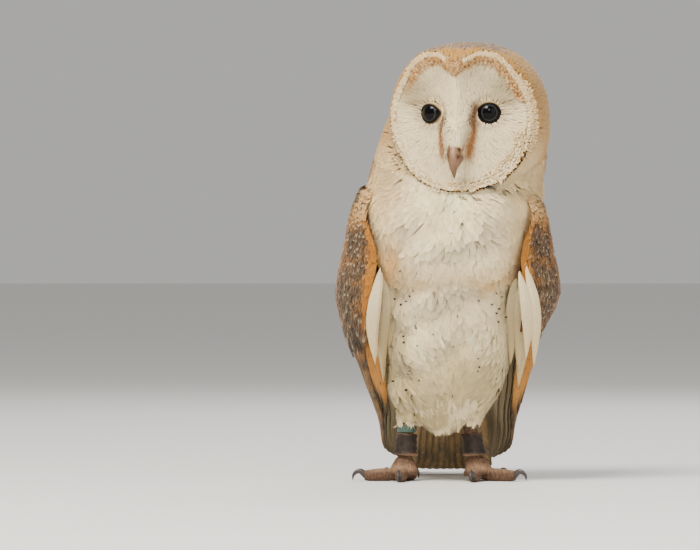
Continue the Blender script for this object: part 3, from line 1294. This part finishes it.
def strip(line, side, tint, seed, width, shift, back, start, end, camber=0.9):
    """A long feather along a line down the wing's front, facing forwards and outwards."""
    line = np.array(line, float)
    t = np.linspace(0, 1, len(line))
    curve = [column(t, line[:, k]) for k in range(3)]

    def place(x, y, h):
        p = np.stack([f(start + (end - start) * y) for f in curve], -1)
        aside = STRIP_OUT * (x + shift)[..., None] + STRIP_FORWARD * (h + 0.8 - back)[..., None]
        return (p + aside) * (side, 1, 1)
    return vane(place, 40, width, tint, seed % 9, 3, seed, camber=camber, spindle=True)


def plain_tint(a_colour, b_colour, share, tip=None, ticks=0.0):
    """One colour passing into another, with a dark tip and dark ticks where asked."""
    def tint(a, y, vrng):
        base = mix(np.broadcast_to(a_colour, a.shape + (3,)), b_colour, share * smooth(0.1, 1, y))
        if tip is not None:
            base = mix(base, tip, smooth(0.78, 0.92, y + 0.05 * np.sin(17 * a + 9 * y)))
        return mix(base, DARK, 0.8 * (vrng.random(a.shape) < ticks))
    return tint


STRIPS = {  # lines down the wing's front: white edge, pale lining, golden strip
    -1: {
        "alula": [(46, -39.5, 146), (50.5, -35.5, 122), (52, -27, 102), (49.5, -18, 80)],
        "lining": [(43.5, -32, 142), (44, -26, 120), (44.5, -16, 98), (43, -6, 67)],
        "gold": [(51, -18, 110), (50, -10, 92), (47, 0, 70), (42.5, 8, 44)],
    },
    1: {
        "alula": [(52, -39.5, 147), (57.2, -36, 124), (58.8, -28, 103), (57.6, -18, 79)],
        "lining": [(51, -32, 140), (51, -26, 120), (49.5, -16, 98), (46, -6, 64)],
        "gold": [(57, -14, 104), (53.5, -8, 88), (49, 0, 68), (45, 8, 38)],
    },
}


def strips(kind, side, tint, seed, rows):
    """Feathers on one line: width, shift, set back, start, end and, where given, camber."""
    line = STRIPS[side][kind]
    return joined(*(strip(line, side, tint, seed + i, *row) for i, row in enumerate(rows)))


def alula(side):
    white = plain_tint(srgb(228, 208, 166), srgb(214, 188, 140), 0.6)
    inner = (7.0, -1.6, 1.0, 0.05, 0.93) if side < 0 else (8.6, -6.2, -0.6, 0.05, 0.93)
    rows = (8.6, 0.0, 0.0, 0.0, 1.0), inner, (6.0, 1.4, 1.6, 0.1, 0.9)
    return strips("alula", side, white, 120, rows)


def lining(side):
    pale = plain_tint(srgb(206, 188, 146), srgb(190, 164, 118), 0.6)
    wide = 12.5 if side < 0 else 16.5
    shares = ((0.85, 0.0, 0.6, 0.0, 0.9, 2.2), (0.7, 0.12, 1.6, 0.15, 1.0, 1.4),
              (0.8, -0.33, 2.6, 0.02, 0.85, 1.4), (0.75, 0.16, 2.4, 0.0, 0.8, 1.4))
    rows = [(width * wide, shift * wide, *others) for width, shift, *others in shares]
    return strips("lining", side, pale, 140, rows)


def golden_edge(side):
    gold = plain_tint(srgb(172, 114, 46), srgb(190, 136, 70), 0.4, tip=GREY * 0.4, ticks=0.02)
    rows = (8.0, -1.5, 0.0, 0.0, 1.0), (8.0, 1.5, 0.8, 0.0, 0.92), (8.0, 3.8, 1.8, 0.0, 0.84)
    return strips("gold", side, gold, 150, rows)


for name, side in PANEL.items():
    wrng = np.random.default_rng(50 + side)
    under_coverts = [f"wing_{name}_coverts", f"wing_{name}_scapulars"]
    coat(f"coverts_{name}", covert_coat(side, wrng), replaces=under_coverts)
    for kind, made in (("secondaries", secondaries(side)), ("primaries", primaries(side))):
        coat(f"{kind}_{name}", made, vane_stuff, [f"wing_{name}_{kind}"])
    coat(f"alula_{name}", alula(side), vane_stuff, [f"wing_{name}_alula"])
    coat(f"wing_lining_{name}", lining(side), vane_stuff)
    coat(f"wing_edge_{name}", golden_edge(side), vane_stuff)


# ---- Tail ----
TAIL_ROOT, TAIL_TIP = np.array((0, 58.0, 98.0)), np.array((0, 123.0, 1.4))
TAIL_COUNT = 12
FLOOR_GAP = 0.1


def tail_feather(i):
    """One feather of the fan; a is its place across, from -1 to 1."""
    length = np.linalg.norm(TAIL_TIP - TAIL_ROOT)
    along = (TAIL_TIP - TAIL_ROOT) / length
    dorsal = np.array((0, -along[2], along[1]))
    a = (2 * i + 1) / TAIL_COUNT - 1

    def place(x, y, h):
        far = (length - 1.2) * (1 - 0.05 * a * a) * y
        lift = h * 0.8 + 0.5 - 5 * a * a + 0.22 * (5 - abs(i - 5.5))
        p = TAIL_ROOT + along * far[..., None] + dorsal * lift[..., None]
        return p + np.array((1, 0, 0)) * (a * 0.93 * (20 + 11 * y) + x)[..., None]
    return vane(place, 50, 11, flight_tint(3.5, 0.45), i, 4, i + 200, 0.03, notch=0.006, under_pale=0.25)


points, *others = joined(*(tail_feather(i) for i in range(TAIL_COUNT)))
points = np.maximum(points, (-np.inf, -np.inf, FLOOR_GAP))
coat("tail_feathers", (points, *others), vane_stuff, ["tail"])


# ---- Eyes ----
EYE_BALL = 8.7
LID_DARK, LID_BROWN, LID_TAN = srgb(8, 7, 7), srgb(88, 64, 40), srgb(196, 174, 128)
LID = (  # degrees outside the opening's edge, height over the ball, colour
    (-1.5, 0.12, LID_DARK), (0, 0.45, LID_DARK), (2.5, 0.7, LID_DARK), (4.5, 0.75, LID_DARK),
    (8, 0.75, LID_BROWN), (16, 0.6, LID_TAN), (27, 0.1, LID_TAN), (29, -1.5, LID_TAN),
    (2, -1.2, LID_DARK),
)


def eye_parts(name, side):
    """The ball, and the lid: a dark rim that hugs the ball and runs out to a corner at each end."""
    centre = np.array((side * EYE["across"], -EYE["depth"] - 0.4, EYE["up"]), float)
    axis = unit(np.array((0.28 if side > 0 else -0.42, -1, -0.04)))
    right = unit(np.cross((0, 0, 1), axis))
    up = np.cross(axis, right)

    def direction(polar, around):
        across = right * np.cos(around)[..., None] + up * np.sin(around)[..., None]
        return axis * np.cos(polar)[..., None] + across * np.sin(polar)[..., None]

    polar, turn = np.meshgrid(np.linspace(0.001, math.pi - 0.001, 60), circle(72), indexing="ij")
    radius = EYE_BALL * (1 + 0.03 * bump(polar, 0, 0.55))
    points, tris = loft(from_head(centre + direction(polar, turn) * radius[..., None]))
    ring = np.append(bump(np.degrees(polar).ravel(), 36, 2.6), (0, 0))
    tint = mix(plain(srgb(5, 5, 6), len(points)), srgb(84, 88, 92), 0.4 * ring)
    uv = np.stack([turn.ravel() / 6.3, polar.ravel() / 3.2], 1)
    uv = np.concatenate([uv, [(0.5, 0.001), (0.5, 0.99)]])
    piece(f"eyeball_{name}", points, tris, eye_stuff, [f"eye_{name}"], tint, uv)

    around = circle(96)
    inner = math.pi if side > 0 else 0

    def corner(at, width):
        return bump(np.angle(np.exp(1j * (around - at))), 0, width)

    opening = (50.0 if side > 0 else 44.0) + 9 * corner(inner, 0.35) + 7 * corner(math.pi - inner, 0.3)
    opening = opening - 10 * np.maximum(0, np.sin(around)) ** 2 - 3 * np.maximum(0, -np.sin(around)) ** 2
    section = [centre + direction(np.radians(opening + out), around) * (EYE_BALL + high)
               for out, high, _ in LID]
    points, tris = hoop(from_head(np.stack(section, 1)))
    tint = np.tile([colour for _, _, colour in LID], (len(around), 1))
    piece(f"lid_{name}", points, tris, lid_stuff, (), tint)


for name, side in PANEL.items():
    eye_parts(name, side)


# ---- Bill ----
def bill():
    sides, rings = 32, 60
    upper = tube_rings([(0, -36, -17), (0, -47, -24), (0, -52, -33), (0, -49.5, -43.5)],
                       [(5.4, 6.6), (5.6, 6.2), (4.7, 5), (3.1, 3.6), (0.5, 0.6)], sides, rings)
    points, tris = loft(from_head(upper))
    darker = smooth(0.5, 1, np.linspace(0, 1, rings))
    shades = mix(plain(srgb(140, 102, 72), rings), srgb(106, 76, 56), darker)
    tint = np.concatenate([np.repeat(shades, sides, axis=0), shades[:1], shades[-1:]])
    piece("bill_top", points, tris, bill_stuff, ["bill_upper"], tint)
    lower = tube_rings(
        [(0, -34, -26), (0, -41, -32), (0, -44.5, -38)], [(5, 3), (3.8, 2.6), (0.6, 0.5)], 24, 30)
    points, tris = loft(from_head(lower))
    tint = plain(srgb(132, 100, 80), len(points))
    piece("bill_bottom", points, tris, bill_stuff, ["bill_lower"], tint)


bill()


# ---- Feet ----
def about_z(p, degrees):
    c, s = math.cos(math.radians(degrees)), math.sin(math.radians(degrees))
    return p @ np.array([(c, s, 0), (-s, c, 0), (0, 0, 1)])


def on_shin(shin, height):
    return (shin[0] * height / shin[2], shin[1] * height / shin[2], height)


KNUCKLES = (4.4, 3.7, 4.4, 4.2, 3.2)
CLAW = ((2.2, 2.5), (1.6, 2.0), (1.2, 1.5), (0.75, 0.95), (0.12, 0.15))  # half sizes along a claw
FOOT_VOXEL = 0.62


def scuted(rings, count, deep):
    """Raised bands across the top of a toe, between thin grooves."""
    middle = rings.mean(1, keepdims=True)
    away = rings - middle
    q = np.linspace(0, 1, len(rings))[:, None]
    raised = np.abs(np.sin(math.pi * count * q)) ** 0.5
    topside = np.clip(unit(away)[..., 2] * 1.4 + 0.2, 0, 1)
    return middle + away * (1 + deep * (raised - 0.6) * topside)[..., None]


def foot(name, leg):
    foot_at = np.array(leg["foot"], float)
    shin = np.array(leg["ankle"]) - (foot_at[0], foot_at[1], 0)
    instep = [(0, 1, 4), (0.1 * shin[0], 0.1 * shin[1] + 1, 9), on_shin(shin, 15)]
    instep = tube_rings(instep, [(10, 10.5), (9.8, 10.2), (8, 8.4), (6.4, 6.6)], 28, 24)
    shank = [on_shin(shin, 9), on_shin(shin, 42)]
    shank = tube_rings(shank, [(5.4, 5.6), (4.9, 4.9), (4.9, 4.9)], 24, 60)
    bodies, claws = [loft(instep), loft(scuted(shank, 9, 0.05))], []
    for turn, length, claw_reach in TOES.values():
        degrees = leg["side"] * (turn + leg["twist"])
        line = [(0, 4, 6), (0, -length * 0.3, 4.6), (0, -length * 0.65, 4), (0, -length, 3.9)]
        toe = tube_rings(line, [(k * 0.92, k * 1.04) for k in KNUCKLES], 24, 96)
        points, tris = loft(scuted(toe, max(8, int(length / 2.1)), 0.14))
        bodies.append((about_z(points, degrees), tris))
        arch = [(0, -length + 1, 4.2), (0, -length - claw_reach * 0.42, 6.9),
                (0, -length - claw_reach * 0.9, 4.6), (0, -length - claw_reach, 0.6)]
        points, tris = loft(tube_rings(arch, CLAW, 16, 28))
        claws.append((about_z(points, degrees) + foot_at, tris))
    points, tris = remeshed(*join(*bodies), FOOT_VOXEL, 2)
    points = np.maximum(points + foot_at, (-np.inf, -np.inf, 0))
    z = points[:, 2]
    tint = mix(plain(srgb(92, 66, 47), len(z)), srgb(136, 106, 80), smooth(5, 9, z) * smooth(14, 9, z))
    tint = mix(tint, srgb(74, 54, 40), 0.6 * smooth(2.6, 0.3, z))
    tint = tint * (1 + 0.18 * ripple(points, 72, 1.6))[:, None]
    tint = tint * (1 + 0.1 * ripple(points, 71, 3))[:, None]
    nodes = [f"foot_{name}", f"tarsus_{name}"]
    piece(f"foot_skin_{name}", points, tris, foot_stuff, nodes, tint)
    points, tris = join(*claws)
    points = np.maximum(points, (-np.inf, -np.inf, 0))
    tint = mix(plain(srgb(66, 58, 56), len(points)), srgb(28, 25, 25), smooth(6, 1, points[:, 2]))
    nodes = [f"claw_{name}_{k}" for k in TOES]
    piece(f"claws_{name}", points, tris, claw_stuff, nodes, tint)
    bands(name, leg, foot_at, shin)


def band(profile, shin, foot_at, flare=0.0, lean=0.0):
    """A closed cuff round the shin: profile of (radius, height)."""
    r, z = np.array(profile, float).T
    a = circle(64)[:, None]
    wide = r * (1 + flare * (np.cos(a - 1.1) + 0.4 * np.sin(3 * a)) * (r > 6))
    height = z + lean * np.cos(a)
    x = np.cos(a) * wide + shin[0] * height / shin[2]
    y = np.sin(a) * wide + shin[1] * height / shin[2]
    return hoop(np.stack([x, y, height], -1) + foot_at)


CUFF = (  # the anklet's outline: radius, height
    (5.3, 17.6), (7.4, 17.5), (8.2, 17.9), (8.25, 18.8), (7.5, 20), (7.2, 21.2), (7.5, 23),
    (6.9, 25), (7.1, 27), (6.7, 29), (7.3, 31.4), (7.0, 32.3), (5.3, 32.4),
)
RING = ((5.3, 33.3), (6.2, 33.2), (6.5, 33.5), (6.5, 37.9), (6.2, 38.2), (5.3, 38.1))


def bands(name, leg, foot_at, shin):
    """The anklet of each leg, and the ring on the right one."""
    points, tris = band(CUFF, shin, foot_at, 0.06, 0.7 * leg["side"])
    z = points[:, 2]
    tint = srgb(42, 31, 24) * (1 + 0.3 * ripple(points, 73, 4))[:, None]
    tint = mix(tint, srgb(146, 112, 82), 0.7 * np.maximum(smooth(19.2, 17.8, z), 0.6 * smooth(31.6, 32.6, z)))
    node = [f"anklet_{name}"]
    piece(f"anklet_leather_{name}", points, tris, leather_stuff, node, tint)
    if leg["side"] < 0:
        points, tris = band(RING, shin, foot_at)
        tint = plain(srgb(58, 84, 74), len(points))
        piece("ring_teal", points, tris, teal_stuff, ["leg_ring"], tint)


for name, leg in LEGS.items():
    foot(name, leg)


# ---- Floor, light and camera ----
FLOOR_SIZE = 30
LIT = Vector((0, 0, 0.16))  # where the lamps point
CAMERA_TURN, CAMERA_AWAY, CAMERA_RISE = 0.5, 4, 0.03  # degrees, then metres
FRAME_WIDTH, SENSOR = 0.4781, 36  # metres across at the bird, and millimetres
FRAME_SHIFT, FRAME_HEIGHT = -0.0672, 0.1407  # the frame's middle in metres

bpy.ops.mesh.primitive_plane_add(size=FLOOR_SIZE)
floor = bpy.context.object
floor.name = "floor"
pale = material("floor_pale", 0.8)
pale.node_tree.nodes["Principled BSDF"].inputs["Base Color"].default_value = (0.80, 0.79, 0.77, 1)
floor.data.materials.append(pale)

studio = bpy.data.worlds.new("studio")
bpy.context.scene.world = studio
studio.use_nodes = True
background = studio.node_tree.nodes["Background"].inputs
background["Color"].default_value = (0.96, 0.95, 0.92, 1)
background["Strength"].default_value = 0.5


def area(name, at, size, power, colour=(1, 1, 1)):
    light = bpy.data.objects.new(name, bpy.data.lights.new(name, "AREA"))
    light.data.size = size
    light.data.energy = power
    light.data.color = colour
    light.location = at
    light.rotation_euler = (LIT - Vector(at)).to_track_quat("-Z", "Y").to_euler()
    bpy.context.scene.collection.objects.link(light)


area("key", (-0.75, -1.25, 2.0), 0.9, 88, (1, 0.95, 0.87))
area("fill", (1.4, -1.3, 0.7), 1.4, 9, (0.95, 0.97, 1))
area("window", (0.15, -1.7, 1.15), 0.55, 9, (1, 0.97, 0.9))
area("back", (0.4, 1.5, 1.3), 1.0, 14)

turn = math.radians(CAMERA_TURN)
right = Vector((math.cos(turn), math.sin(turn), 0))
ahead = Vector((-math.sin(turn), math.cos(turn), 0))
target = right * FRAME_SHIFT + Vector((0, -ORIGIN_BACK * 0.001, FRAME_HEIGHT))
camera = bpy.data.objects.new("camera", bpy.data.cameras.new("camera"))
camera.location = target - ahead * CAMERA_AWAY + Vector((0, 0, CAMERA_RISE))
camera.rotation_euler = (target - camera.location).to_track_quat("-Z", "Y").to_euler()
camera.data.sensor_width = SENSOR
camera.data.lens = SENSOR * CAMERA_AWAY / FRAME_WIDTH
bpy.context.scene.collection.objects.link(camera)
bpy.context.scene.camera = camera
